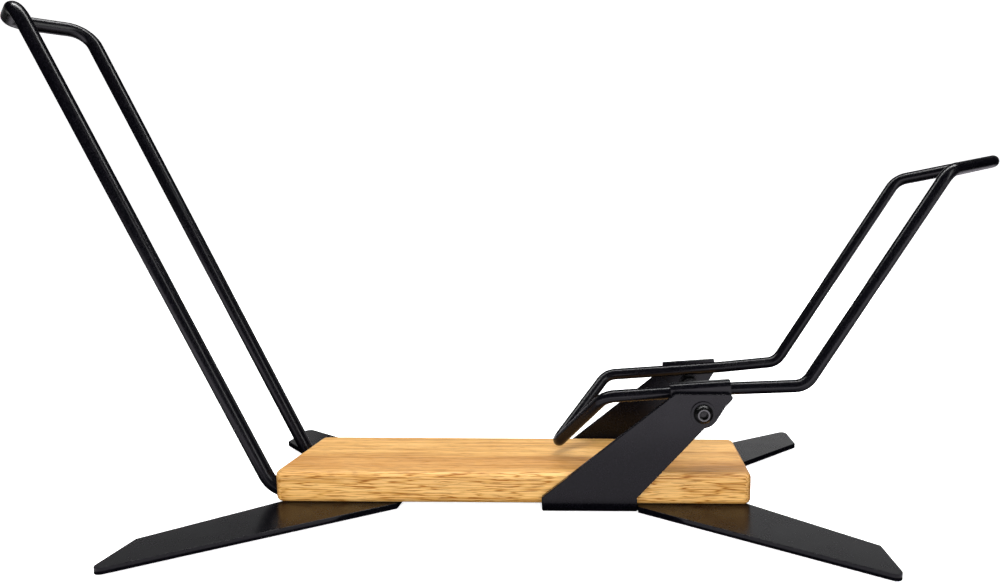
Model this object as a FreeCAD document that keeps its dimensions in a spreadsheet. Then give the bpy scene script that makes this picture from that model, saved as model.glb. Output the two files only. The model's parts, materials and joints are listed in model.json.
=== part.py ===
import FreeCAD, Part
import math
import os

import Sketcher
from FreeCAD import Placement, Rotation, Vector

# Bicycle floor stand: an oak board on two steel base plates, a fixed hoop of round bar that
# the front wheel rolls into, and a rocker of thinner bar that tips up behind the wheel.
# Frame: +X from the hoop to the end where the wheel comes in, +Z up, origin on the floor at the
# middle of the stand. The stand is symmetric about the XZ plane. Left is -Y, the left-hand
# side of a person who pushes the bicycle in. Millimetres and degrees.

DIMENSIONS = {
    # feet and sheet metal
    "pad_radius": 10.0,
    "pad_thickness": 1.0,
    "front_pad_x": -207.0,
    "front_pad_y": 112.0,
    "rear_pad_x": 235.0,
    "rear_pad_y": 114.0,
    "plate_thickness": 4.5,
    "bend_radius": 4.0,
    "relief_width": 1.0,
    # oak board, lying on both base plates
    "board_length": 352.0,
    "board_width": 90.0,
    "board_thickness": 24.0,
    "board_centre": 9.6,
    "board_corner": 6.0,
    "board_rounding": 4.2,
    # front base plate: a V with its point under the board
    "front_tip": -227.0,
    "front_tip_inner": 107.0,
    "front_tip_outer": 151.5,
    "front_notch": -122.0,
    "front_end": -76.0,
    "front_end_half": 44.0,
    # rear base bracket: the same V with two ears bent up beside the board
    "rear_tip": 256.5,
    "rear_tip_inner": 110.0,
    "rear_tip_outer": 152.5,
    "rear_notch": 140.5,
    "rear_root_outer": 48.6,
    "tip_rounding": 4.5,
    "edge_break": 0.4,
    "ear_gap": 3.3,
    "ear_start": 31.8,
    "ear_end": 101.0,
    "ear_root_height": 13.6,
    "ear_height": 90.5,
    "ear_top_start": 127.8,
    "ear_top_end": 172.0,
    "ear_corner_rounding": 2.5,
    # wheel hoop
    "hoop_bar_radius": 5.2,
    "hoop_half_width": 34.0,
    "hoop_tail": -98.0,
    "hoop_foot": -171.6,
    "hoop_lean": 25.15,
    "hoop_height": 361.6,
    "hoop_peak_reach": 34.6,
    "hoop_peak_drop": 1.3,
    "hoop_foot_bend": 21.0,
    "hoop_top_bend": 17.0,
    "hoop_peak_bend": 12.0,
    "groove_clearance": 0.3,
    "groove_mouth": 7.0,
    "groove_mouth_rise": 2.4,
    # rocker, given from its pivot
    "pivot_x": 147.75,
    "pivot_z": 76.65,
    "rocker_bar_radius": 4.6,
    "rail_tilt": 4.23,
    "rail_offset": 13.99,
    "low_bend_along": -69.57,
    "flare_along": 24.83,
    "rear_bend_along": 74.93,
    "rear_half_width": 47.2,
    "rear_arm_length": 179.7,
    "rear_arm_angle": 58.15,
    "high_peak_reach": 59.7,
    "high_peak_rise": 12.1,
    "low_peak_reach": -41.7,
    "low_peak_rise": -49.8,
    "rocker_bend": 14.0,
    "high_peak_bend": 12.0,
    "low_peak_bend": 8.0,
    "flare_bend": 40.0,
    # rocker lugs
    "lug_thickness": 2.5,
    "lug_length": 43.6,
    "lug_end_radius": 12.7,
    "lug_shoulder": 9.0,
    "lug_hole_radius": 6.0,
    "lug_bend_radius": 1.5,
    "lug_past_top": 1.0,
    # pivot hardware, M8
    "screw_radius": 4.0,
    "screw_length": 20.0,
    "head_radius": 7.0,
    "head_height": 4.4,
    "head_edge": 0.8,
    "head_flat_radius": 4.3,
    "socket_width": 5.0,
    "socket_depth": 3.0,
    "socket_mouth_radius": 3.3,
    "socket_mouth_depth": 0.5,
    "washer_radius": 8.7,
    "washer_hole_radius": 4.2,
    "washer_thickness": 1.6,
    "bush_flange_radius": 9.0,
    "bush_flange": 1.0,
    "bush_radius": 5.95,
    "bush_hole_radius": 4.05,
    "bush_end_play": 0.1,
    "nut_width": 13.0,
    "nut_height": 6.5,
    "nut_crown_radius": 9.0,
    "nut_crown_centre": 6.0,
    "nut_collar_radius": 5.6,
    "nut_collar": 1.4,
    # wood screws, 4 x 20 countersunk
    "wood_screw_radius": 2.0,
    "wood_screw_length": 19.0,
    "wood_head_radius": 4.0,
    "wood_head_depth": 2.2,
    "wood_socket_radius": 1.6,
    "front_screw_x1": -88.0,
    "front_screw_y1": 20.0,
    "front_screw_x2": -112.0,
    "front_screw_y2": 12.0,
    "rear_screw_x1": 46.0,
    "rear_screw_y1": 28.0,
    "rear_screw_x2": 112.0,
    "rear_screw_y2": 20.0,
}

# worked out from the dimensions above; spaces keep each name apart from brackets
DERIVED = {
    "plate_top": "pad_thickness + plate_thickness",
    "ear_face": "board_width / 2 + ear_gap",
    "ear_outside": "ear_face + plate_thickness",
    "lug_outside": "ear_face - bush_flange",
    "rail_half_width": "lug_outside - lug_thickness - rocker_bar_radius",
    "lug_inside": "lug_outside - lug_thickness - bush_end_play",
    "hook_across": "rail_half_width + rocker_bar_radius - lug_bend_radius",
    "hook_rise": "rail_offset + rocker_bar_radius - lug_bend_radius",
    "lug_reach": "sqrt( lug_length ^ 2 / 4 + lug_shoulder ^ 2 )",
    "lug_side_angle": "acos( lug_end_radius / lug_reach ) - atan( 2 * lug_shoulder / lug_length )",
    "head_sphere_centre": "( head_radius ^ 2 + head_edge ^ 2 - head_flat_radius ^ 2 - head_height ^ 2 )"
                          " / ( 2 * ( head_edge - head_height ) )",
    "head_sphere_radius": "sqrt( head_radius ^ 2 + ( head_edge - head_sphere_centre ) ^ 2 )",
    "wood_head_taper": "atan( ( wood_head_radius - wood_screw_radius ) / wood_head_depth )",
}

SIDES = {"left": -1, "right": 1}

doc = FreeCAD.newDocument("bicycle_floor_stand")
sheet = doc.addObject("Spreadsheet::Sheet", "Sizes")
probe = doc.addObject("App::FeaturePython", "Probe")
probe.addProperty("App::PropertyFloat", "Number")
subparts = []


def fill_sheet():
    """One row per dimension, with its name as the cell's alias; formulas come last."""
    cells = {name: str(value) for name, value in DIMENSIONS.items()}
    cells.update({name: f"={formula}" for name, formula in DERIVED.items()})
    for row, (name, content) in enumerate(cells.items(), start=1):
        sheet.set(f"A{row}", name)
        sheet.set(f"B{row}", content)
        sheet.setAlias(f"B{row}", name)
    doc.recompute()


def size(name):
    """The value of a dimension, read from the sheet."""
    return float(sheet.get(name))


def in_sheet(word):
    return word in DIMENSIONS or word in DERIVED


def bound(text):
    """An expression with each dimension's name pointing at its cell."""
    return " ".join(f"Sizes.{word}" if in_sheet(word) else word for word in text.split())


def opposite(expression):
    return f"0 - ( {expression} )"


def on_both_sides(places):
    """Places in plan, each of them on the left and on the right."""
    return [(x, y) for x, side_y in places for y in (opposite(side_y), side_y)]


FRONT_SCREWS = on_both_sides([("front_screw_x1", "front_screw_y1"),
                              ("front_screw_x2", "front_screw_y2")])
REAR_SCREWS = on_both_sides([("rear_screw_x1", "rear_screw_y1"),
                             ("rear_screw_x2", "rear_screw_y2")])


def keep(item, label):
    item.Label = label
    subparts.append(item)
    return item


# ---------------------------------------------------------------- PartDesign helpers


def new_body(label):
    return keep(doc.addObject("PartDesign::Body", f"{label}_body"), label)


def new_sketch(body, name, role, offset="0"):
    """A sketch on one of the body's origin planes, moved along the plane's normal."""
    plane = next(item for item in body.Origin.OriginFeatures if item.Role == role)
    sketch = body.newObject("Sketcher::SketchObject", name)
    sketch.AttachmentSupport = [(plane, "")]
    sketch.MapMode = "FlatFace"
    sketch.setExpression("AttachmentOffset.Base.z", bound(offset))
    return sketch


def bind_constraint(sketch, name, constraint, expression):
    index = sketch.addConstraint(constraint)
    sketch.renameConstraint(index, name)
    sketch.setExpression(f"Constraints.{name}", bound(expression))


def value_of(expression):
    """A first value for a sketch point, so that the solver starts near the answer."""
    words = [str(size(word)) if in_sheet(word) else word for word in expression.split()]
    probe.setExpression("Number", " ".join(words))
    probe.recompute()
    return probe.Number


def draw_outline(sketch, corners):
    """A closed outline of straight lines whose corners are bound to the sheet."""
    points = [Vector(value_of(x), value_of(y), 0) for x, y in corners]
    count = len(points)
    first = sketch.GeometryCount
    for index in range(count):
        sketch.addGeometry(Part.LineSegment(points[index], points[(index + 1) % count]), False)
    for index in range(count):
        here = first + index
        after = first + (index + 1) % count
        sketch.addConstraint(Sketcher.Constraint("Coincident", here, 2, after, 1))
    for index, (x, y) in enumerate(corners):
        line = first + index
        across = Sketcher.Constraint("DistanceX", -1, 1, line, 1, points[index].x)
        upward = Sketcher.Constraint("DistanceY", -1, 1, line, 1, points[index].y)
        bind_constraint(sketch, f"x{line}", across, x)
        bind_constraint(sketch, f"y{line}", upward, y)


def draw_circle(sketch, x, y, radius):
    centre = Vector(value_of(x), value_of(y), 0)
    index = sketch.addGeometry(Part.Circle(centre, Vector(0, 0, 1), value_of(radius)), False)
    across = Sketcher.Constraint("DistanceX", -1, 1, index, 3, centre.x)
    upward = Sketcher.Constraint("DistanceY", -1, 1, index, 3, centre.y)
    around = Sketcher.Constraint("Radius", index, value_of(radius))
    bind_constraint(sketch, f"x{index}", across, x)
    bind_constraint(sketch, f"y{index}", upward, y)
    bind_constraint(sketch, f"r{index}", around, radius)


def draw_ring_piece(sketch, across, upward, radii, turn):
    """Part of a ring: two arcs (geometry 0 and 1) about one centre, closed by two lines (2 and
    3)."""
    centre = Vector(value_of(across), value_of(upward), 0)
    for radius in radii:
        circle = Part.Circle(centre, Vector(0, 0, 1), value_of(radius))
        sketch.addGeometry(Part.ArcOfCircle(circle, *turn), False)
    for end in (1, 2):
        ends = [sketch.getPoint(0, end), sketch.getPoint(1, end)]
        sketch.addGeometry(Part.LineSegment(*ends), False)
    for join in ((0, 1, 2, 1), (1, 1, 2, 2), (0, 2, 3, 1), (1, 2, 3, 2), (0, 3, 1, 3)):
        sketch.addConstraint(Sketcher.Constraint("Coincident", *join))
    centre_x = Sketcher.Constraint("DistanceX", -1, 1, 0, 3, centre.x)
    centre_y = Sketcher.Constraint("DistanceY", -1, 1, 0, 3, centre.y)
    bind_constraint(sketch, "across", centre_x, across)
    bind_constraint(sketch, "upward", centre_y, upward)
    for index, radius in enumerate(radii):
        around = Sketcher.Constraint("Radius", index, value_of(radius))
        bind_constraint(sketch, f"radius{index}", around, radius)


def add_pad(body, sketch, length, midplane=False, backwards=False):
    pad = body.newObject("PartDesign::Pad", f"{sketch.Name}_pad")
    pad.Profile = sketch
    pad.setExpression("Length", bound(length))
    pad.Midplane = midplane
    pad.Reversed = backwards
    sketch.Visibility = False
    doc.recompute()
    return pad


def add_pocket(body, sketch, length, midplane=False, backwards=False):
    """A pocket that has to take material away."""
    before = body.Shape.Volume
    pocket = body.newObject("PartDesign::Pocket", f"{sketch.Name}_pocket")
    pocket.Profile = sketch
    pocket.setExpression("Length", bound(length))
    pocket.Midplane = midplane
    pocket.Reversed = backwards
    doc.recompute()
    if body.Shape.Volume >= before - 1e-6:
        raise RuntimeError(f"{pocket.Name} takes nothing away")
    return pocket


def add_mirror(body, features, role):
    """The features repeated on the other side of one of the body's origin planes."""
    plane = next(item for item in body.Origin.OriginFeatures if item.Role == role)
    mirror = body.newObject("PartDesign::Mirrored", f"{features[0].Name}_mirror")
    mirror.Originals = features
    mirror.MirrorPlane = (plane, [""])
    body.Tip = mirror
    doc.recompute()
    return mirror


def add_fillet(body, radius, wanted):
    """A fillet on every edge of the body that the test function picks."""
    base = body.Tip
    names = []
    for index, edge in enumerate(base.Shape.Edges, start=1):
        if wanted(edge):
            names.append(f"Edge{index}")
    if not names:
        raise RuntimeError(f"no edge to round on {body.Label}")
    fillet = body.newObject("PartDesign::Fillet", f"{base.Name}_fillet")
    fillet.Base = (base, names)
    fillet.setExpression("Radius", bound(radius))
    doc.recompute()
    return fillet


def break_edges(body, low=0.0, high=0.0):
    """Slightly round every sharp edge of a laser-cut sheet, but none that lies wholly in the
    narrow band between two places along X."""
    shape = body.Tip.Shape

    def outside(edge):
        box = edge.BoundBox
        return box.XMin < low - 0.01 or box.XMax > high + 0.01

    add_fillet(body, "edge_break", lambda edge: outside(edge) and is_sharp(shape, edge))


def is_sharp(shape, edge):
    """True where the two faces at an edge meet at a clear angle."""
    middle = edge.valueAt((edge.FirstParameter + edge.LastParameter) / 2)
    normals = []
    for face in shape.ancestorsOfType(edge, Part.Face):
        normals.append(face.normalAt(*face.Surface.parameter(middle)))
    return len(normals) == 2 and normals[0].getAngle(normals[1]) > math.radians(30)


def is_upright(edge):
    start, end = edge.Vertexes[0].Point, edge.Vertexes[-1].Point
    return abs(start.x - end.x) < 1e-6 and abs(start.y - end.y) < 1e-6


def stands_at(edge, x, y):
    """True for a straight edge along Z at the given place in plan, on either side."""
    start = edge.Vertexes[0].Point
    return is_upright(edge) and abs(start.x - x) < 0.01 and abs(abs(start.y) - y) < 0.01


def is_crosswise(edge, x, z):
    """True for a straight edge along Y that lies at the given place in side view."""
    start, end = edge.Vertexes[0].Point, edge.Vertexes[-1].Point
    along_y = abs(start.x - end.x) < 1e-6 and abs(start.z - end.z) < 1e-6
    return along_y and abs(start.x - x) < 0.01 and abs(start.z - z) < 0.01


# ---------------------------------------------------------------- Part helpers


def primitive(kind, name, sizes, place=None):
    """A Part primitive whose sizes and place are bound to the sheet."""
    item = doc.addObject(f"Part::{kind}", name)
    for prop, expression in sizes.items():
        item.setExpression(prop, bound(expression))
    for axis, expression in (place or {}).items():
        item.setExpression(f"Placement.Base.{axis}", bound(expression))
    return item


def cut(name, base, tool):
    item = doc.addObject("Part::Cut", name)
    item.Base = base
    item.Tool = tool
    return item


def fuse(name, shapes):
    item = doc.addObject("Part::MultiFuse", name)
    item.Shapes = shapes
    return item


def common(name, shapes):
    item = doc.addObject("Part::MultiCommon", name)
    item.Shapes = shapes
    return item


def mirrored(point):
    return Vector(point.x, -point.y, point.z)


def bend(before, corner, after, radius):
    """The points of the arc that rounds a corner: start, middle, end and centre."""
    back = (before - corner).normalize()
    ahead = (after - corner).normalize()
    half_turn = (math.pi - back.getAngle(ahead)) / 2
    reach = radius * math.tan(half_turn)
    centre = corner + (back + ahead).normalize() * (radius / math.cos(half_turn))
    middle = centre + (corner - centre).normalize() * radius
    return corner + back * reach, middle, corner + ahead * reach, centre


def bar_path(corners, radii):
    """Straight runs joined by tangent arcs, one radius for each inner corner."""
    edges = []
    here = corners[0]
    for index, radius in enumerate(radii, start=1):
        arc = bend(corners[index - 1], corners[index], corners[index + 1], radius)
        edges.append(Part.LineSegment(here, arc[0]).toShape())
        edges.append(Part.Arc(arc[0], arc[1], arc[2]).toShape())
        here = arc[2]
    edges.append(Part.LineSegment(here, corners[-1]).toShape())
    return edges


def half_bend(arc, radius, forwards):
    """The half of a bend from its middle to its end, or from its start to its middle."""
    start, middle, end, centre = arc
    outer = end if forwards else start
    between = centre + ((outer - centre) + (middle - centre)).normalize() * radius
    ends = (middle, outer) if forwards else (outer, middle)
    return Part.Arc(ends[0], between, ends[1]).toShape()


def sweep_bar(edges, radius):
    """A round bar along a path of tangent edges."""
    start = edges[0].valueAt(edges[0].FirstParameter)
    direction = edges[0].tangentAt(edges[0].FirstParameter)
    profile = Part.Wire(Part.makeCircle(radius, start, direction))
    return Part.Wire(edges).makePipeShell([profile], True, False)


# ---------------------------------------------------------------- base


def make_board():
    """Solid oak board, rounded all over, with two grooves underneath for the hoop's ends."""
    body = new_body("oak_board")
    plan = new_sketch(body, "board_plan", "XY_Plane", "plate_top")
    left = "board_centre - board_length / 2"
    right = "board_centre + board_length / 2"
    far = "board_width / 2"
    near = opposite(far)
    draw_outline(plan, [(left, near), (right, near), (right, far), (left, far)])
    add_pad(body, plan, "board_thickness")
    add_fillet(body, "board_corner", is_upright)
    add_fillet(body, "board_rounding", lambda edge: not is_upright(edge))
    groove = new_sketch(body, "hoop_groove", "XZ_Plane", "hoop_half_width")
    roof = "plate_top + 2 * hoop_bar_radius + groove_clearance"
    mouth = f"{left} - 1"
    draw_outline(groove, [
        (mouth, "0"),
        ("hoop_tail + groove_clearance", "0"),
        ("hoop_tail + groove_clearance", roof),
        (f"{left} + groove_mouth", roof),
        (mouth, f"{roof} + groove_mouth_rise"),
    ])
    pocket = add_pocket(body, groove, "2 * hoop_bar_radius + 2 * groove_clearance", midplane=True)
    add_mirror(body, [pocket], "XZ_Plane")
    holes = new_sketch(body, "board_screw_holes", "XY_Plane", "plate_top")
    for x, y in FRONT_SCREWS + REAR_SCREWS:
        draw_circle(holes, x, y, "wood_screw_radius")
    add_pocket(body, holes, "wood_screw_length - plate_thickness", backwards=True)


def front_plate_outline():
    tip, end = "front_tip", "front_end"
    near = [
        (end, opposite("front_end_half")),
        (tip, opposite("front_tip_outer")),
        (tip, opposite("front_tip_inner")),
        ("front_notch", "0"),
    ]
    far = [
        (tip, "front_tip_inner"),
        (tip, "front_tip_outer"),
        (end, "front_end_half"),
    ]
    return near + far


def rear_bracket_outline():
    """The flat part: a web between the two bend lines, and the two feet."""
    bend_line = "ear_face - bend_radius"
    root = "ear_end + relief_width"
    far = [
        ("ear_start", bend_line),
        ("ear_end", bend_line),
        (root, bend_line),
        (root, "rear_root_outer"),
        ("rear_tip", "rear_tip_outer"),
        ("rear_tip", "rear_tip_inner"),
    ]
    near = [(x, opposite(y)) for x, y in far]
    return near + [("rear_notch", "0")] + far[::-1]


def cut_screw_holes(body, name, places):
    """Countersunk holes, open at the underside of a base plate."""
    through = new_sketch(body, f"{name}_holes", "XY_Plane", "pad_thickness")
    for x, y in places:
        draw_circle(through, x, y, "wood_screw_radius")
    add_pocket(body, through, "plate_thickness", backwards=True)
    sink = new_sketch(body, f"{name}_sinks", "XY_Plane", "pad_thickness")
    for x, y in places:
        draw_circle(sink, x, y, "wood_head_radius")
    pocket = add_pocket(body, sink, "wood_head_depth", backwards=True)
    pocket.setExpression("TaperAngle", bound("-1 * wood_head_taper"))
    doc.recompute()


def make_front_plate():
    body = new_body("front_base_plate")
    plan = new_sketch(body, "front_plan", "XY_Plane", "pad_thickness")
    draw_outline(plan, front_plate_outline())
    add_pad(body, plan, "plate_thickness")
    outer = size("front_tip_outer")
    add_fillet(body, "tip_rounding", lambda edge: stands_at(edge, size("front_tip"), outer))
    break_edges(body)
    cut_screw_holes(body, "front", FRONT_SCREWS)


def make_rear_bracket():
    """One laser-cut sheet: a V of two feet, with two ears bent up on either side of the board."""
    body = new_body("rear_base_bracket")
    plan = new_sketch(body, "rear_plan", "XY_Plane", "pad_thickness")
    draw_outline(plan, rear_bracket_outline())
    add_pad(body, plan, "plate_thickness")
    bend_pad = add_ear_bend(body)
    ear_pad = add_ear_plate(body)
    add_mirror(body, [bend_pad, ear_pad], "XZ_Plane")
    outer = size("rear_tip_outer")
    add_fillet(body, "tip_rounding", lambda edge: stands_at(edge, size("rear_tip"), outer))
    corner_x, corner_z = size("ear_top_end"), size("ear_height")
    add_fillet(body, "ear_corner_rounding", lambda edge: is_crosswise(edge, corner_x, corner_z))
    break_edges(body, size("ear_end"), size("ear_end") + size("relief_width"))
    bore = new_sketch(body, "pivot_bore", "XZ_Plane")
    draw_circle(bore, "pivot_x", "pivot_z", "washer_hole_radius")
    add_pocket(body, bore, "2 * board_width", midplane=True)
    cut_screw_holes(body, "rear", REAR_SCREWS)


def add_ear_bend(body):
    """The quarter turn between the web and the ear: a ring cut down to one quarter."""
    section = new_sketch(body, "ear_bend", "YZ_Plane", "ear_start")
    radii = ("bend_radius", "bend_radius + plate_thickness")
    turn = (math.pi, 1.5 * math.pi)
    draw_ring_piece(section, "bend_radius - ear_face", "plate_top + bend_radius", radii, turn)
    section.addConstraint(Sketcher.Constraint("Horizontal", 2))
    section.addConstraint(Sketcher.Constraint("Vertical", 3))
    return add_pad(body, section, "ear_end - ear_start")


def add_ear_plate(body):
    """The upright ear, which leans toward the end where the wheel comes in."""
    face = new_sketch(body, "ear_outline", "XZ_Plane", "ear_face")
    root = "plate_top + bend_radius"
    draw_outline(face, [
        ("ear_start", root),
        ("ear_end", root),
        ("ear_end", "ear_root_height"),
        ("ear_top_end", "ear_height"),
        ("ear_top_start", "ear_height"),
        ("ear_start", "ear_root_height"),
    ])
    return add_pad(body, face, "plate_thickness")


def make_hoop():
    """One bar: both ends lie in the board's grooves, the legs lean forward, the top is a V."""
    radius = size("hoop_bar_radius")
    half = size("hoop_half_width")
    low = size("plate_top") + radius
    top = size("hoop_height")
    foot_x = size("hoop_foot")
    top_x = foot_x - (top - low) * math.tan(math.radians(size("hoop_lean")))
    near = [
        Vector(size("hoop_tail"), -half, low),
        Vector(foot_x, -half, low),
        Vector(top_x, -half, top),
    ]
    peak = Vector(top_x - size("hoop_peak_reach"), 0, top - size("hoop_peak_drop"))
    far = [mirrored(point) for point in reversed(near)]
    foot_bend, top_bend = size("hoop_foot_bend"), size("hoop_top_bend")
    radii = [foot_bend, top_bend, size("hoop_peak_bend"), top_bend, foot_bend]
    item = keep(doc.addObject("Part::Feature", "wheel_hoop_bar"), "wheel_hoop")
    item.Shape = sweep_bar(bar_path(near + [peak] + far, radii), radius)


def make_wood_screws(label, places):
    """Countersunk screws, driven up through a base plate into the board."""
    screws = []
    for index, (x, y) in enumerate(places):
        place = {"x": x, "y": y, "z": "pad_thickness"}
        shank = primitive("Cylinder", f"{label}_shank{index}",
                          {"Radius": "wood_screw_radius", "Height": "wood_screw_length"}, place)
        head = primitive("Cone", f"{label}_head{index}", {
            "Radius1": "wood_head_radius",
            "Radius2": "wood_screw_radius",
            "Height": "wood_head_depth",
        }, place)
        socket = primitive("Prism", f"{label}_socket{index}", {
            "Circumradius": "wood_socket_radius",
            "Height": "wood_head_depth",
        }, place)
        whole = fuse(f"{label}_whole{index}", [shank, head])
        screws.append(cut(f"{label}_screw{index}", whole, socket))
    group = doc.addObject("Part::Compound", f"{label}_group")
    group.Links = screws
    keep(group, label)


def make_pads():
    """Thin round rubber pads under the four feet."""
    sizes = {"Radius": "pad_radius", "Height": "pad_thickness"}
    for end in ("front", "rear"):
        for side, sign in SIDES.items():
            label = f"foot_pad_{end}_{side}"
            place = {"x": f"{end}_pad_x", "y": f"{sign} * {end}_pad_y"}
            keep(primitive("Cylinder", f"{label}_disc", sizes, place), label)


# ---------------------------------------------------------------- rocker


def rail_point(along, half_width):
    """A point on the bar's straight run over the pivot, on the left side."""
    tilt = math.radians(size("rail_tilt"))
    offset = size("rail_offset")
    x = size("pivot_x") + along * math.cos(tilt) - offset * math.sin(tilt)
    z = size("pivot_z") + along * math.sin(tilt) + offset * math.cos(tilt)
    return Vector(x, -half_width, z)


def make_rocker_frame():
    """A closed loop of bar: two rails, a low V over the board and a high V behind the wheel."""
    inner, outer = size("rail_half_width"), size("rear_half_width")
    low_bend = rail_point(size("low_bend_along"), inner)
    flare = rail_point(size("flare_along"), inner)
    rear_bend = rail_point(size("rear_bend_along"), outer)
    rise = math.radians(size("rear_arm_angle"))
    arm = Vector(math.cos(rise), 0, math.sin(rise)) * size("rear_arm_length")
    high_bend = rear_bend + arm
    low_peak = Vector(low_bend.x + size("low_peak_reach"), 0, low_bend.z + size("low_peak_rise"))
    high_peak = Vector(high_bend.x + size("high_peak_reach"), 0,
                       high_bend.z + size("high_peak_rise"))
    low_arc = bend(mirrored(low_bend), low_peak, low_bend, size("low_peak_bend"))
    high_arc = bend(high_bend, high_peak, mirrored(high_bend), size("high_peak_bend"))
    corners = [low_arc[2], low_bend, flare, rear_bend, high_bend, high_arc[0]]
    radii = [size("rocker_bend"), size("flare_bend"), size("rocker_bend"), size("rocker_bend")]
    edges = [half_bend(low_arc, size("low_peak_bend"), True)]
    edges += bar_path(corners, radii)
    edges.append(half_bend(high_arc, size("high_peak_bend"), False))
    half = sweep_bar(edges, size("rocker_bar_radius"))
    other = half.mirror(Vector(0, 0, 0), Vector(0, 1, 0))
    item = keep(doc.addObject("Part::Feature", "rocker_bar"), "rocker_frame")
    item.Shape = half.fuse(other).removeSplitter()


def make_lug(side):
    """A sheet lug: it hangs from the bar inside the ear and hooks over the bar's top.

    It is drawn around its pivot hole, along the untilted bar, and its Placement puts it in."""
    label = f"rocker_lug_{side}"
    body = new_body(label)
    sign = SIDES[side]
    outer_face = f"{-sign} * lug_outside"
    plate = new_sketch(body, f"{label}_plate", "XZ_Plane", outer_face)
    half = "lug_length / 2"
    tangent_x = "lug_end_radius * cos( lug_side_angle )"
    tangent_z = "lug_end_radius * sin( lug_side_angle )"
    draw_outline(plate, [
        (opposite(tangent_x), opposite(tangent_z)),
        (tangent_x, opposite(tangent_z)),
        (half, "lug_shoulder"),
        (half, "hook_rise"),
        (opposite(half), "hook_rise"),
        (opposite(half), "lug_shoulder"),
    ])
    add_pad(body, plate, "lug_thickness", backwards=sign < 0)
    disc = new_sketch(body, f"{label}_disc", "XZ_Plane", outer_face)
    draw_circle(disc, "0", "0", "lug_end_radius")
    add_pad(body, disc, "lug_thickness", backwards=sign < 0)
    add_hook(body, label, sign)
    break_edges(body)
    bore = new_sketch(body, f"{label}_bore", "XZ_Plane")
    draw_circle(bore, "0", "0", "lug_hole_radius")
    add_pocket(body, bore, "2 * board_width", midplane=True)
    body.setExpression("Placement.Base.x", bound("pivot_x"))
    body.setExpression("Placement.Base.z", bound("pivot_z"))
    body.Placement.Rotation = Rotation(Vector(0, 1, 0), -size("rail_tilt"))


def add_hook(body, label, sign):
    """The top of the lug: a tight fold inward, then a flat that ends just past the bar's top."""
    fold = new_sketch(body, f"{label}_fold", "YZ_Plane")
    radii = ("lug_bend_radius", "lug_bend_radius + lug_thickness")
    start = 0.0 if sign > 0 else math.pi / 2
    turn = (start, start + math.pi / 2)
    draw_ring_piece(fold, f"{sign} * hook_across", "hook_rise", radii, turn)
    level, upright = (2, 3) if sign > 0 else (3, 2)
    fold.addConstraint(Sketcher.Constraint("Horizontal", level))
    fold.addConstraint(Sketcher.Constraint("Vertical", upright))
    add_pad(body, fold, "lug_length", midplane=True)
    flat = new_sketch(body, f"{label}_flat", "YZ_Plane")
    near = f"{sign} * hook_across"
    far = f"{sign} * ( rail_half_width - lug_past_top )"
    under = "rail_offset + rocker_bar_radius"
    over = "rail_offset + rocker_bar_radius + lug_thickness"
    draw_outline(flat, [(near, under), (near, over), (far, over), (far, under)])
    add_pad(body, flat, "lug_length", midplane=True)


# ---------------------------------------------------------------- pivot hardware


def place_on_pivot(item, side, distance):
    """Put a piece drawn along +Z on the pivot line, its +Z pointing outward.

    The distance is how far its origin lies from the middle plane."""
    sign = SIDES[side]
    item.Placement.Rotation = Rotation(Vector(0, 0, 1), Vector(0, sign, 0))
    item.setExpression("Placement.Base.x", bound("pivot_x"))
    item.setExpression("Placement.Base.y", bound(f"{sign} * ( {distance} )"))
    item.setExpression("Placement.Base.z", bound("pivot_z"))


def make_ring(label, outer, inner, thickness):
    rim = primitive("Cylinder", f"{label}_rim", {"Radius": outer, "Height": thickness})
    hole = primitive("Cylinder", f"{label}_hole", {"Radius": inner, "Height": thickness})
    return cut(f"{label}_ring", rim, hole)


def make_screw(side):
    """M8 button head screw: its head lies on the outer washer, its end stands out of the nut."""
    label = f"pivot_screw_{side}"
    dome = primitive("Sphere", f"{label}_dome", {"Radius": "head_sphere_radius"},
                     {"z": "head_sphere_centre"})
    drum = primitive("Cylinder", f"{label}_drum",
                     {"Radius": "head_radius", "Height": "head_height"})
    head = common(f"{label}_head", [dome, drum])
    shank = primitive("Cylinder", f"{label}_shank",
                      {"Radius": "screw_radius", "Height": "screw_length"},
                      {"z": "0 - screw_length"})
    whole = fuse(f"{label}_whole", [head, shank])
    socket = primitive("Prism", f"{label}_socket",
                       {"Circumradius": "socket_width / sqrt(3)", "Height": "socket_depth"},
                       {"z": "head_height - socket_depth"})
    mouth = primitive("Cone", f"{label}_mouth", {
        "Radius1": "socket_width / 2",
        "Radius2": "socket_mouth_radius",
        "Height": "socket_mouth_depth",
    }, {"z": "head_height - socket_mouth_depth"})
    recess = fuse(f"{label}_recess", [socket, mouth])
    screw = keep(cut(f"{label}_cut", whole, recess), label)
    place_on_pivot(screw, side, "ear_outside + washer_thickness")


def make_washers(side):
    sizes = ("washer_radius", "washer_hole_radius", "washer_thickness")
    outer = keep(make_ring(f"outer_washer_{side}", *sizes), f"outer_washer_{side}")
    place_on_pivot(outer, side, "ear_outside")
    inner = keep(make_ring(f"inner_washer_{side}", *sizes), f"inner_washer_{side}")
    place_on_pivot(inner, side, "lug_inside - washer_thickness")


def make_bush(side):
    """Plastic bush: its flange keeps the lug off the ear, and the lug turns on its barrel."""
    label = f"pivot_bush_{side}"
    flange = primitive("Cylinder", f"{label}_flange",
                       {"Radius": "bush_flange_radius", "Height": "bush_flange - bush_end_play"},
                       {"z": "bush_end_play - bush_flange"})
    barrel = primitive("Cylinder", f"{label}_barrel",
                       {"Radius": "bush_radius", "Height": "ear_face - lug_inside"},
                       {"z": "lug_inside - ear_face"})
    whole = fuse(f"{label}_whole", [flange, barrel])
    bore = primitive("Cylinder", f"{label}_bore",
                     {"Radius": "bush_hole_radius", "Height": "plate_thickness * 3"},
                     {"z": "0 - plate_thickness * 2"})
    bush = keep(cut(f"{label}_cut", whole, bore), label)
    place_on_pivot(bush, side, "ear_face")


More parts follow.
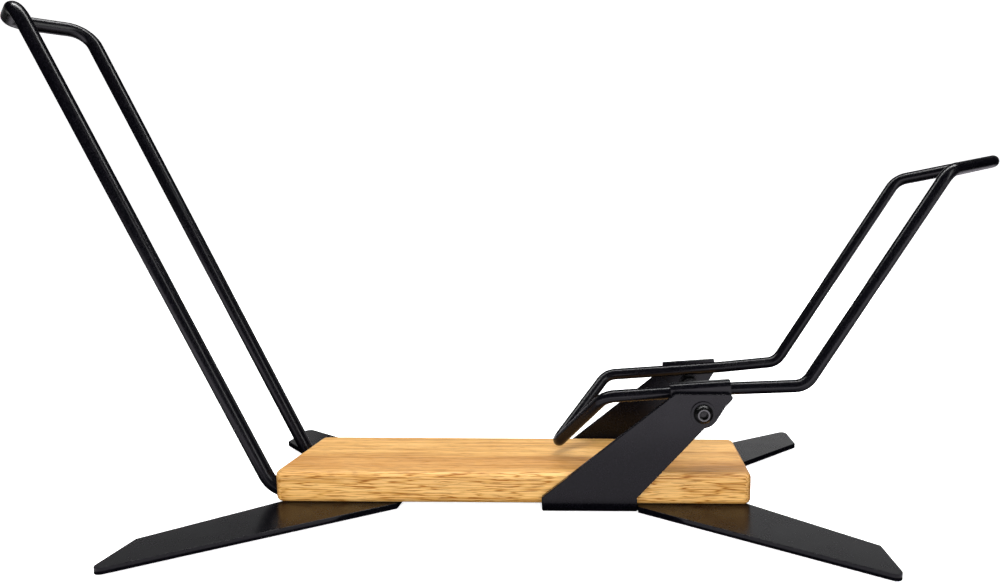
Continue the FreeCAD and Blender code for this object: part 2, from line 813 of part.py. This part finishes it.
def make_nut(side):
    """M8 self-locking nut: a hexagon with a round collar over its plastic ring."""
    label = f"lock_nut_{side}"
    hexagon = primitive("Prism", f"{label}_hexagon",
                        {"Circumradius": "nut_width / sqrt(3)", "Height": "nut_height"},
                        {"z": "0 - nut_height"})
    crown = primitive("Sphere", f"{label}_crown", {"Radius": "nut_crown_radius"},
                      {"z": "nut_crown_centre - nut_height"})
    body = common(f"{label}_body", [hexagon, crown])
    collar = primitive("Cylinder", f"{label}_collar",
                       {"Radius": "nut_collar_radius", "Height": "nut_collar"},
                       {"z": "0 - nut_height - nut_collar"})
    whole = fuse(f"{label}_whole", [body, collar])
    bore = primitive("Cylinder", f"{label}_bore",
                     {"Radius": "screw_radius", "Height": "nut_height * 2"},
                     {"z": "0 - nut_height * 1.5"})
    nut = keep(cut(f"{label}_cut", whole, bore), label)
    place_on_pivot(nut, side, "lug_inside - washer_thickness")


# ---------------------------------------------------------------- build and write


def build():
    fill_sheet()
    make_board()
    make_front_plate()
    make_rear_bracket()
    make_hoop()
    make_wood_screws("front_plate_screws", FRONT_SCREWS)
    make_wood_screws("rear_bracket_screws", REAR_SCREWS)
    make_pads()
    make_rocker_frame()
    for side in SIDES:
        make_lug(side)
        make_screw(side)
        make_washers(side)
        make_bush(side)
        make_nut(side)
    doc.recompute()


def check():
    """Stop on any object that failed, and on any sub-part without a valid shape."""
    for item in doc.Objects:
        if "Invalid" in item.State or "Error" in item.State:
            raise RuntimeError(f"{item.Name} failed: {item.State}")
    for item in subparts:
        if item.Shape.isNull() or not item.Shape.isValid():
            raise RuntimeError(f"{item.Label} has no valid shape")
        if not item.Shape.Solids:
            raise RuntimeError(f"{item.Label} has no solid")


def write():
    os.makedirs("parts", exist_ok=True)
    for item in subparts:
        item.Shape.exportStep(f"parts/{item.Label}.step")
        box = item.Shape.BoundBox
        print(f"{item.Label:24s} solids {len(item.Shape.Solids)} volume {item.Shape.Volume:10.1f}"
              f" x {box.XMin:7.1f} {box.XMax:7.1f} y {box.YMin:7.1f} {box.YMax:7.1f}"
              f" z {box.ZMin:6.1f} {box.ZMax:6.1f}")


build()
check()
write()
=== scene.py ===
import json
import math

import bmesh
import bpy
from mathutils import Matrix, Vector


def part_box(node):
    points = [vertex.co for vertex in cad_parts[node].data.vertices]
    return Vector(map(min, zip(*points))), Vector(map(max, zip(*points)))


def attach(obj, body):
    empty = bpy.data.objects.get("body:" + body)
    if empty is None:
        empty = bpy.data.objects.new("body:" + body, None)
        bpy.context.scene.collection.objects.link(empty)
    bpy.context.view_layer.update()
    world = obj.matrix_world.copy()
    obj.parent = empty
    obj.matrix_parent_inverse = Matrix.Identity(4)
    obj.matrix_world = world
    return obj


# A bicycle floor stand in a plain studio: black powder coat, oiled oak with furrowed sides,
# and the pivot's screws, washers, bushes and nuts. All lengths are in metres.

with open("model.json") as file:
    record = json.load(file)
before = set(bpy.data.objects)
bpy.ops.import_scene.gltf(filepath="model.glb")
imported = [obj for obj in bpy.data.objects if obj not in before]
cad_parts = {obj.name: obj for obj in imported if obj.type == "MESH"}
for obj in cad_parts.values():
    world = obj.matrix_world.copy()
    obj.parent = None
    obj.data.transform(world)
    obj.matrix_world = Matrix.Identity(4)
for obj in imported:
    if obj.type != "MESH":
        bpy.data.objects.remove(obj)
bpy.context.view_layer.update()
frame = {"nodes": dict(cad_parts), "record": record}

SIDES = {"left": -1, "right": 1}

# colours in linear light
COAT_BLACK = (0.0010, 0.0010, 0.0018, 1.0)
COAT_WORN = (0.0040, 0.0037, 0.0056, 1.0)
ZINC = (0.62, 0.62, 0.60, 1.0)
BLACKENED_STEEL = (0.016, 0.016, 0.016, 1.0)
# painted highlight: paler steel for the flat rim around each screw's socket
RIM_HIGHLIGHT_PAINT = (0.07, 0.07, 0.07, 1.0)
BUSH_BLACK = (0.02, 0.02, 0.02, 1.0)
RUBBER_BLACK = (0.018, 0.018, 0.018, 1.0)
OAK_DARK = (0.520, 0.245, 0.048, 1.0)
OAK_MIDDLE = (0.680, 0.355, 0.085, 1.0)
OAK_PALE = (0.800, 0.460, 0.140, 1.0)
OAK_CREST = (0.98, 0.640, 0.270, 1.0)
OAK_PORE = (0.26, 0.105, 0.022, 1.0)
STUDIO_WHITE = (0.93, 0.93, 0.93, 1.0)
PURE_WHITE = (1.0, 1.0, 1.0, 1.0)

# tints that darken the oak: its heart band, its furrows and its end grain
HEART_TINT = (0.80, 0.68, 0.52, 1.0)
FURROW_TINT = (0.48, 0.32, 0.15, 1.0)
END_TINT = (0.62, 0.46, 0.30, 1.0)

# a darker band along the board, as seen from above: its middle line and half its width
HEART_PLACE = -0.018
HEART_REACH = 0.019
HEART_CORE = 0.35
HEART_RAGGED = 0.016
HEART_STRENGTH = 0.85

# how much of the oak's furrows is left on the planed top and bottom
FACE_SMOOTHING = 0.72
FURROW_STRENGTH = 0.95
PORE_STRENGTH = 0.5
END_STRENGTH = 0.65

# depth of the painted highlight on the flat rim around each screw's socket, from the outermost
# point inward
SCREW_RIM_DEPTH = 0.0005

# welds between the lugs and the rocker's bar; the drop is from the lug's highest point
LUG_SHEET = 0.0025
RAIL_DROP = 0.0129
RAIL_SLOPE = 0.074
WELD_OFFSET = 0.0125
WELD_LENGTH = 0.014
WELD_INSET = 0.0011
WELD_RADIUS = 0.0016
WELD_RIPPLES = 7
WELD_STEPS = 4
WELD_CORNERS = 12
WELD_SWELL = 0.14
WELD_TAPER = 4.0
WELD_BLUNT_END = 0.15

# camera
CAMERA_PLACE = (0.08570, -0.54321, 0.20502)
CAMERA_ANGLES = (83.658, -0.232, 0.338)
CAMERA_LENS = 25.27
CAMERA_SENSOR = 36.0
CAMERA_SHIFT = (-0.11295, 0.01939)
CAMERA_NEAREST = 0.01

# studio
FLOOR_HALF_WIDTH = 4.0
FLOOR_FRONT = -3.0
FLOOR_BACK = 1.6
FLOOR_GLOW = 0.86
BACKDROP_RADIUS = 1.2
BACKDROP_HEIGHT = 3.6
BACKDROP_STEPS = 24
BACKDROP_GLOW = 0.9
NEUTRAL = (1.0, 1.0, 1.0)
COOL = (0.96, 0.91, 1.0)

# A card shows in reflections only. A fill lights surfaces and shows in no reflection.
# Each row: name, kind, place, point it faces, width, height, power in watts, colour.
LIGHTS = [
    ("top_strip", "card", (0.0, 0.15, 1.5), (0.0, 0.0, 0.1), 2.4, 0.20, 34.0, NEUTRAL),
    ("side_strip", "card", (1.5, -1.4, 0.9), (0.0, 0.0, 0.15), 0.45, 1.6, 14.0, NEUTRAL),
    ("near_card", "card", (0.1, -0.16, 0.003), (0.1, -0.16, 1.0), 2.4, 0.18, 1.8, COOL),
    ("floor_card", "card", (0.1, -0.65, 0.003), (0.1, -0.65, 1.0), 2.4, 0.80, 17.0, COOL),
    ("back_card_left", "card", (-1.5, 1.5, 0.60), (-0.3, 0.0, 0.0), 1.4, 0.8, 1.2, NEUTRAL),
    ("back_card_right", "card", (1.0, 1.5, 0.60), (0.3, 0.0, 0.0), 1.6, 0.8, 2.5, NEUTRAL),
    ("top_fill", "fill", (0.1, -0.2, 1.7), (0.0, 0.0, 0.0), 1.8, 0.8, 24.5, NEUTRAL),
    ("front_fill", "fill", (0.1, -1.8, 0.6), (0.0, 0.0, 0.05), 2.2, 1.0, 46.0, NEUTRAL),
    ("back_fill", "fill", (0.1, 1.8, 0.6), (0.0, 0.0, 0.05), 2.2, 1.0, 30.0, NEUTRAL),
    ("rear_card", "card", (0.1, 0.65, 0.003), (0.1, 0.65, 1.0), 2.4, 0.80, 7.0, COOL),
]


# ---------------------------------------------------------------- node trees


class Material:
    """One procedural material: short calls that add nodes and link them."""

    def __init__(self, name):
        self.material = bpy.data.materials.new(name)
        self.material.use_nodes = True
        self.tree = self.material.node_tree
        self.shader = self.tree.nodes["Principled BSDF"]

    def add(self, kind, inputs=None, **settings):
        node = self.tree.nodes.new(kind)
        for name, value in settings.items():
            setattr(node, name, value)
        for name, value in (inputs or {}).items():
            self.feed(node.inputs[name], value)
        return node

    def feed(self, socket, value):
        if isinstance(value, bpy.types.NodeSocket):
            self.tree.links.new(value, socket)
        else:
            socket.default_value = value

    def set(self, **values):
        for name, value in values.items():
            self.feed(self.shader.inputs[name.replace("_", " ")], value)

    def coordinates(self, scale=(1.0, 1.0, 1.0), location=(0.0, 0.0, 0.0)):
        place = self.add("ShaderNodeTexCoord").outputs["Object"]
        mapping = self.add("ShaderNodeMapping", {
            "Vector": place,
            "Location": location,
            "Scale": scale,
        })
        return mapping.outputs["Vector"]

    def away_from_zero(self, coordinate, axis):
        """The size, without its sign, of one axis of a coordinate such as Normal or Object."""
        parts = self.add("ShaderNodeSeparateXYZ", {
            "Vector": self.add("ShaderNodeTexCoord").outputs[coordinate],
        })
        return self.math("ABSOLUTE", parts.outputs[axis])

    def noise(self, vector, scale, detail=2.0, roughness=0.5, distortion=0.0):
        node = self.add("ShaderNodeTexNoise", {
            "Vector": vector,
            "Scale": scale,
            "Detail": detail,
            "Roughness": roughness,
            "Distortion": distortion,
        })
        return node.outputs["Fac"]

    def ramp(self, value, stops):
        """A colour ramp with any number of (position, colour) stops."""
        node = self.add("ShaderNodeValToRGB", {"Fac": value})
        elements = node.color_ramp.elements
        while len(elements) < len(stops):
            elements.new(1.0)
        for element, (position, colour) in zip(elements, stops):
            element.position = position
            element.color = colour
        return node.outputs["Color"]

    def spread(self, value, low, high, new_low=0.0, new_high=1.0):
        """Map the span from low to high onto another one, without going past its ends."""
        node = self.add("ShaderNodeMapRange", {
            "Value": value,
            "From Min": low,
            "From Max": high,
            "To Min": new_low,
            "To Max": new_high,
        })
        return node.outputs["Result"]

    def math(self, operation, first, second=0.0):
        node = self.add("ShaderNodeMath", operation=operation)
        self.feed(node.inputs[0], first)
        self.feed(node.inputs[1], second)
        return node.outputs["Value"]

    def plus(self, first, second):
        return self.math("ADD", first, second)

    def minus(self, first, second):
        return self.math("SUBTRACT", first, second)

    def times(self, first, second):
        return self.math("MULTIPLY", first, second)

    def mix(self, factor, first, second, blend="MIX"):
        node = self.add("ShaderNodeMix", data_type="RGBA", blend_type=blend)
        self.feed(node.inputs["Factor"], factor)
        self.feed(node.inputs["A"], first)
        self.feed(node.inputs["B"], second)
        return node.outputs["Result"]

    def tint(self, factor, colour, shade):
        return self.mix(factor, colour, shade, "MULTIPLY")

    def bump(self, height, strength, distance):
        node = self.add("ShaderNodeBump", {
            "Height": height,
            "Strength": strength,
            "Distance": distance,
        })
        self.set(Normal=node.outputs["Normal"])


# ---------------------------------------------------------------- finishes


def powder_coat():
    """Black powder coat: a fine orange-peel grain and slightly rubbed high spots."""
    coat = Material("black_powder_coat")
    place = coat.coordinates()
    grain = coat.noise(place, scale=800.0, roughness=0.6)
    cloud = coat.noise(place, scale=60.0, detail=4.0)
    coat.set(Base_Color=coat.mix(coat.spread(grain, 0.38, 0.66), COAT_BLACK, COAT_WORN))
    sheen = coat.spread(cloud, 0.3, 0.7, new_low=0.22, new_high=0.28)
    coat.set(Roughness=coat.plus(sheen, coat.spread(grain, 0.3, 0.7, -0.02, 0.03)))
    coat.set(IOR=1.3)
    coat.bump(grain, strength=0.12, distance=0.0001)
    return coat.material


def along_grain(wood, stretch, scale, shift, detail=0.0, roughness=0.5, distortion=0.0):
    """Noise drawn out along X. Its scale holds across the grain; the stretch shrinks it along X."""
    place = wood.coordinates((stretch, 1.0, 1.0), (shift, 2.0 * shift, 3.0 * shift))
    return wood.noise(place, scale, detail, roughness, distortion)


def oak_body(wood):
    """The oak's broad colour: soft clouds and bands, and the ragged heart band."""
    cloud = along_grain(wood, stretch=0.10, scale=42.0, shift=0.31, detail=3.0, distortion=0.5)
    band = along_grain(wood, stretch=0.030, scale=230.0, shift=0.17, detail=3.0,
                       roughness=0.55, distortion=0.3)
    tone = wood.plus(wood.times(cloud, 0.5), wood.times(band, 0.5))
    body = wood.ramp(tone, [(0.41, OAK_DARK), (0.50, OAK_MIDDLE), (0.58, OAK_PALE)])
    place = wood.add("ShaderNodeSeparateXYZ", {
        "Vector": wood.add("ShaderNodeTexCoord").outputs["Object"],
    })
    ragged = wood.plus(place.outputs["Y"], wood.times(cloud, HEART_RAGGED))
    from_heart = wood.math("ABSOLUTE", wood.minus(ragged, HEART_PLACE))
    heart = wood.spread(from_heart, HEART_REACH, HEART_CORE * HEART_REACH,
                        new_high=HEART_STRENGTH)
    return wood.tint(heart, body, HEART_TINT)


def oak():
    """Oiled oak: soft bands on the faces, and thin broken furrows where the sides were cut."""
    wood = Material("oiled_oak")
    face = wood.spread(wood.away_from_zero("Normal", "Z"), 0.80, 0.99)
    end = wood.spread(wood.away_from_zero("Normal", "X"), 0.35, 0.95)
    depth = wood.minus(1.0, wood.times(face, FACE_SMOOTHING))

    # a furrow runs wherever this noise crosses its middle value, in broken lengths
    dash = along_grain(wood, stretch=0.045, scale=900.0, shift=0.53, distortion=0.12)
    off_line = wood.math("ABSOLUTE", wood.minus(dash, 0.5))
    breaks = along_grain(wood, stretch=0.100, scale=1100.0, shift=0.41)
    furrow = wood.times(wood.spread(off_line, 0.080, 0.020),
                        wood.spread(breaks, 0.38, 0.50, new_low=0.25))
    crest = wood.times(wood.spread(off_line, 0.08, 0.14, new_high=0.35), depth)
    fibre = along_grain(wood, stretch=0.030, scale=2200.0, shift=0.71, detail=2.0)
    pore = along_grain(wood, stretch=0.060, scale=1300.0, shift=0.93, detail=1.0, distortion=0.4)
    pores = wood.spread(pore, 0.60, 0.66)

    colour = oak_body(wood)
    colour = wood.tint(wood.times(furrow, wood.times(depth, FURROW_STRENGTH)), colour, FURROW_TINT)
    colour = wood.mix(crest, colour, OAK_CREST)
    colour = wood.mix(wood.times(pores, PORE_STRENGTH), colour, OAK_PORE)
    colour = wood.tint(wood.times(end, END_STRENGTH), colour, END_TINT)

    wood.set(Base_Color=colour)
    wood.set(Roughness=wood.spread(furrow, 0.0, 1.0, new_low=0.50, new_high=0.66))
    wood.set(IOR=1.45)
    relief = wood.minus(wood.times(fibre, 0.3), wood.times(furrow, depth))
    wood.bump(wood.minus(relief, wood.times(pores, 0.4)), strength=0.5, distance=0.0002)
    return wood.material


def plated_steel(name, tone, rough, rim=None, rim_place=0.0):
    """Steel with faint turning marks; flats along Y beyond the rim's place get a paler painted
    highlight.
    """
    steel = Material(name)
    smudge = steel.noise(steel.coordinates(), scale=260.0, detail=4.0)
    scratch = steel.noise(steel.coordinates((1.0, 12.0, 1.0)), scale=900.0)
    shade = steel.spread(smudge, 0.3, 0.7, new_low=0.75, new_high=1.15)
    grey = steel.add("ShaderNodeCombineColor", {"Red": shade, "Green": shade, "Blue": shade})
    colour = steel.tint(1.0, tone, grey.outputs["Color"])
    if rim:
        # painted highlight: flats facing along Y beyond rim_place take the paler rim colour
        flat = steel.spread(steel.away_from_zero("Normal", "Y"), 0.93, 0.98)
        outside = steel.math("GREATER_THAN", steel.away_from_zero("Object", "Y"), rim_place)
        colour = steel.mix(steel.times(flat, outside), colour, rim)
    steel.set(Base_Color=colour, Metallic=0.85)
    steel.set(Roughness=steel.spread(scratch, 0.3, 0.7, rough - 0.06, rough + 0.08))
    steel.bump(scratch, strength=0.2, distance=0.00006)
    return steel.material


def soft_black(name, tone, rough, grain_scale):
    """Matt black rubber or moulded plastic with a faint grain."""
    black = Material(name)
    grain = black.noise(black.coordinates(), grain_scale, detail=3.0)
    lighter = tuple(1.6 * part for part in tone[:3]) + (1.0,)
    black.set(Base_Color=black.mix(grain, tone, lighter))
    black.set(Roughness=black.spread(grain, 0.3, 0.7, rough - 0.05, rough + 0.05))
    black.bump(grain, strength=0.2, distance=0.00005)
    return black.material


def screw_rim_place():
    """How far from the middle the flat rim around each screw's socket begins."""
    low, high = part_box("pivot_screw_right")
    return high[1] - SCREW_RIM_DEPTH


def make_materials():
    return {
        "black_powder_coat": powder_coat(),
        "oiled_oak": oak(),
        "zinc_plated_steel": plated_steel("zinc_plated_steel", ZINC, rough=0.34),
        "blackened_screw_steel": plated_steel("blackened_screw_steel", BLACKENED_STEEL,
                                              rough=0.26, rim=RIM_HIGHLIGHT_PAINT,
                                              rim_place=screw_rim_place()),
        "bush_plastic": soft_black("bush_plastic", BUSH_BLACK, rough=0.5, grain_scale=900.0),
        "foot_rubber": soft_black("foot_rubber", RUBBER_BLACK, rough=0.75, grain_scale=700.0),
    }


def paint_nodes(materials):
    """Every CAD node gets the finish that the record gives it."""
    for row in frame["record"]["subparts"]:
        node = frame["nodes"][row["node"]]
        node.data.materials.clear()
        node.data.materials.append(materials[row["material_slot"]])


# ---------------------------------------------------------------- meshes


def link_mesh(name, shape):
    """Turn a finished bmesh into an object in the scene."""
    mesh = bpy.data.meshes.new(name)
    shape.to_mesh(mesh)
    shape.free()
    item = bpy.data.objects.new(name, mesh)
    bpy.context.scene.collection.objects.link(item)
    return item


def weld_ring(shape, centre, reach):
    """One ring of corners around a weld bead that lies along X."""
    ring = []
    for corner in range(WELD_CORNERS):
        turn = 2.0 * math.pi * corner / WELD_CORNERS
        ring.append(shape.verts.new((centre.x, centre.y + reach * math.cos(turn),
                                     centre.z + reach * math.sin(turn))))
    return ring


def weld_bead(name, start, end):
    """A rippled fillet of weld metal between two points that lie along X."""
    shape = bmesh.new()
    rings = []
    steps = WELD_RIPPLES * WELD_STEPS
    for step in range(steps + 1):
        along = step / steps
        ripple = abs(math.sin(math.pi * WELD_RIPPLES * along))
        swell = 1.0 - WELD_SWELL + WELD_SWELL * ripple
        taper = min(1.0, math.sin(math.pi * along) * WELD_TAPER + WELD_BLUNT_END)
        centre = Vector(start).lerp(Vector(end), along)
        rings.append(weld_ring(shape, centre, WELD_RADIUS * swell * taper))
    for before, after in zip(rings, rings[1:]):
        for corner in range(WELD_CORNERS):
            following = (corner + 1) % WELD_CORNERS
            face = shape.faces.new((before[corner], before[following],
                                    after[following], after[corner]))
            face.smooth = True
    shape.faces.new(rings[0])
    shape.faces.new(rings[-1])
    bmesh.ops.recalc_face_normals(shape, faces=shape.faces)
    return link_mesh(name, shape)


def make_welds(materials):
    """Two short beads under each rail, where the lug's inner face meets the bar."""
    for side, sign in SIDES.items():
        low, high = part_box(f"rocker_lug_{side}")
        inner_face = sign * (max(abs(low[1]), abs(high[1])) - LUG_SHEET)
        middle = (low[0] + high[0]) / 2.0
        for index, offset in enumerate((-WELD_OFFSET, WELD_OFFSET)):
            ends = []
            for shift in (-WELD_LENGTH / 2.0, WELD_LENGTH / 2.0):
                along = offset + shift
                ends.append((middle + along, inner_face - sign * WELD_INSET,
                             high[2] - RAIL_DROP + along * RAIL_SLOPE))
            bead = weld_bead(f"lug_weld_{side}_{index}", ends[0], ends[1])
            bead.data.materials.append(materials["black_powder_coat"])
            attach(bead, "rocker")


# ---------------------------------------------------------------- studio


def matt_white(name, glow):
    white = Material(name)
    white.set(Base_Color=STUDIO_WHITE)
    white.set(Roughness=0.8)
    white.set(Emission_Color=STUDIO_WHITE)
    white.set(Emission_Strength=glow)
    return white.material


def ruled_sheet(name, profile, material):
    """A sheet as wide as the studio that follows (y, z) points and shows in no reflection."""
    shape = bmesh.new()
    rows = []
    for x in (-FLOOR_HALF_WIDTH, FLOOR_HALF_WIDTH):
        rows.append([shape.verts.new((x, y, z)) for y, z in profile])
    for index in range(len(profile) - 1):
        face = shape.faces.new((rows[0][index], rows[1][index],
                                rows[1][index + 1], rows[0][index + 1]))
        face.smooth = True
    sheet = link_mesh(name, shape)
    sheet.data.materials.append(material)
    sheet.visible_glossy = False
    return sheet


def make_floor():
    """A pale floor that throws no light on the stand, and a glowing backdrop behind it."""
    floor = ruled_sheet("studio_floor", [(FLOOR_FRONT, 0.0), (FLOOR_BACK, 0.0)],
                        matt_white("floor_white", FLOOR_GLOW))
    floor.visible_diffuse = False
    profile = []
    for step in range(BACKDROP_STEPS + 1):
        turn = math.radians(90.0) * step / BACKDROP_STEPS
        profile.append((FLOOR_BACK + BACKDROP_RADIUS * math.sin(turn),
                        BACKDROP_RADIUS * (1.0 - math.cos(turn))))
    profile.append((FLOOR_BACK + BACKDROP_RADIUS, BACKDROP_HEIGHT))
    ruled_sheet("studio_backdrop", profile, matt_white("backdrop_white", BACKDROP_GLOW))


def add_light(name, kind, place, target, width, height, power, colour):
    """One row of the table of lights, as an area light the camera doesn't see."""
    light = bpy.data.lights.new(name, "AREA")
    light.shape = "RECTANGLE"
    light.size = width
    light.size_y = height
    light.energy = power
    light.color = colour
    item = bpy.data.objects.new(name, light)
    item.location = place
    direction = Vector(target) - Vector(place)
    item.rotation_euler = direction.to_track_quat("-Z", "Y").to_euler()
    item.visible_glossy = kind == "card"
    item.visible_diffuse = kind == "fill"
    item.visible_camera = False
    bpy.context.scene.collection.objects.link(item)


def make_world():
    """Plain white beyond the floor's edge, which lights nothing."""
    world = bpy.data.worlds.new("studio_world")
    world.use_nodes = True
    background = world.node_tree.nodes["Background"]
    background.inputs["Color"].default_value = PURE_WHITE
    background.inputs["Strength"].default_value = 1.0
    world.cycles_visibility.diffuse = False
    world.cycles_visibility.glossy = False
    bpy.context.scene.world = world


def make_camera():
    lens = bpy.data.cameras.new("camera")
    lens.sensor_width = CAMERA_SENSOR
    lens.lens = CAMERA_LENS
    lens.shift_x, lens.shift_y = CAMERA_SHIFT
    lens.clip_start = CAMERA_NEAREST
    camera = bpy.data.objects.new("camera", lens)
    camera.location = CAMERA_PLACE
    camera.rotation_euler = [math.radians(angle) for angle in CAMERA_ANGLES]
    bpy.context.scene.collection.objects.link(camera)
    bpy.context.scene.camera = camera


def build():
    bpy.context.scene.view_settings.view_transform = "Standard"
    materials = make_materials()
    paint_nodes(materials)
    make_welds(materials)
    make_floor()
    for row in LIGHTS:
        add_light(*row)
    make_world()
    make_camera()


build()
